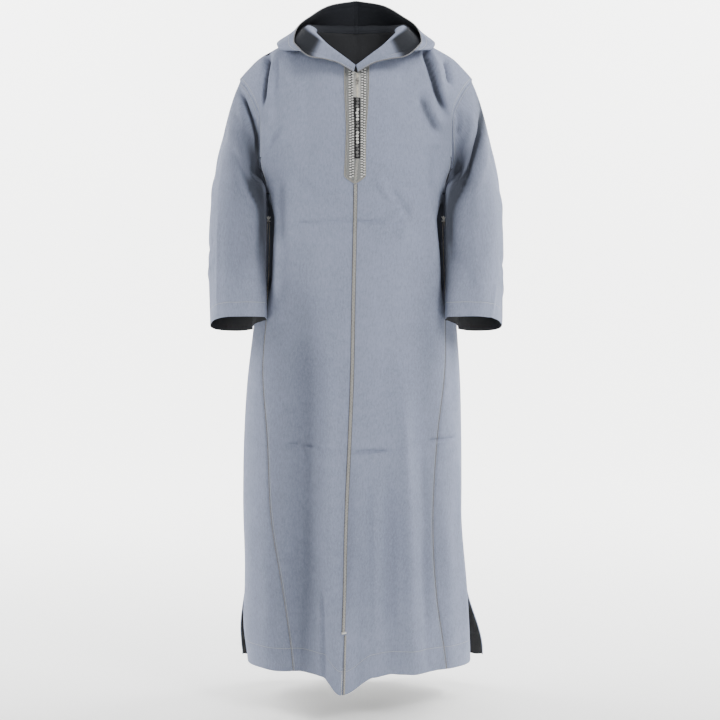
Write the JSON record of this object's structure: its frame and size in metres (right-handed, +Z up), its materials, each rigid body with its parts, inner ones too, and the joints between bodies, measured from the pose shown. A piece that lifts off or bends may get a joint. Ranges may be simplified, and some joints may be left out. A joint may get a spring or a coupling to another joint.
{
  "type": "hooded robe",
  "caption": "Long loose hooded robe worn on a general figure: wide sleeves, hood thrown back, zip and braid down the front, open hem slits.",
  "frame": {"origin": "middle of the base of the neck, where the wearer carries the robe", "axes": "+Z up, -Y towards the robe's front, +X towards the wearer's left"},
  "size_m": [0.7114, 0.4041, 1.626],
  "materials": {
    "cloth": "matt twill",
    "braid": "silky braid",
    "knots": "dark tape with knots",
    "metal": "dark satin"
  },
  "bodies": {
    "robe": {"back": "cloth", "centre_braid": "braid", "front_left": "cloth", "front_right": "cloth", "gore_back_left": "cloth", "gore_back_right": "cloth", "gore_front_left": "cloth", "gore_front_right": "cloth", "hood_cord": "braid", "hood_left": "cloth", "hood_right": "cloth", "knot_tape": "knots", "placket_cord": "braid", "placket_left": "braid", "placket_right": "braid", "pocket_piping_left": "braid", "pocket_piping_right": "braid", "sleeve_left": "cloth", "sleeve_right": "cloth", "slit_braid": "braid", "zip_slider": "metal", "zip_tape": "braid"},
    "pull": {"zip_pull": "metal"}
  },
  "joints": [
    {"name": "zip_pull_swing", "type": "hinge", "parent": "robe", "child": "pull", "pos_m": [0.0035, -0.1162, -0.0699], "axis": [-1, 0, 0], "range_deg": [0, 95]}
  ]
}
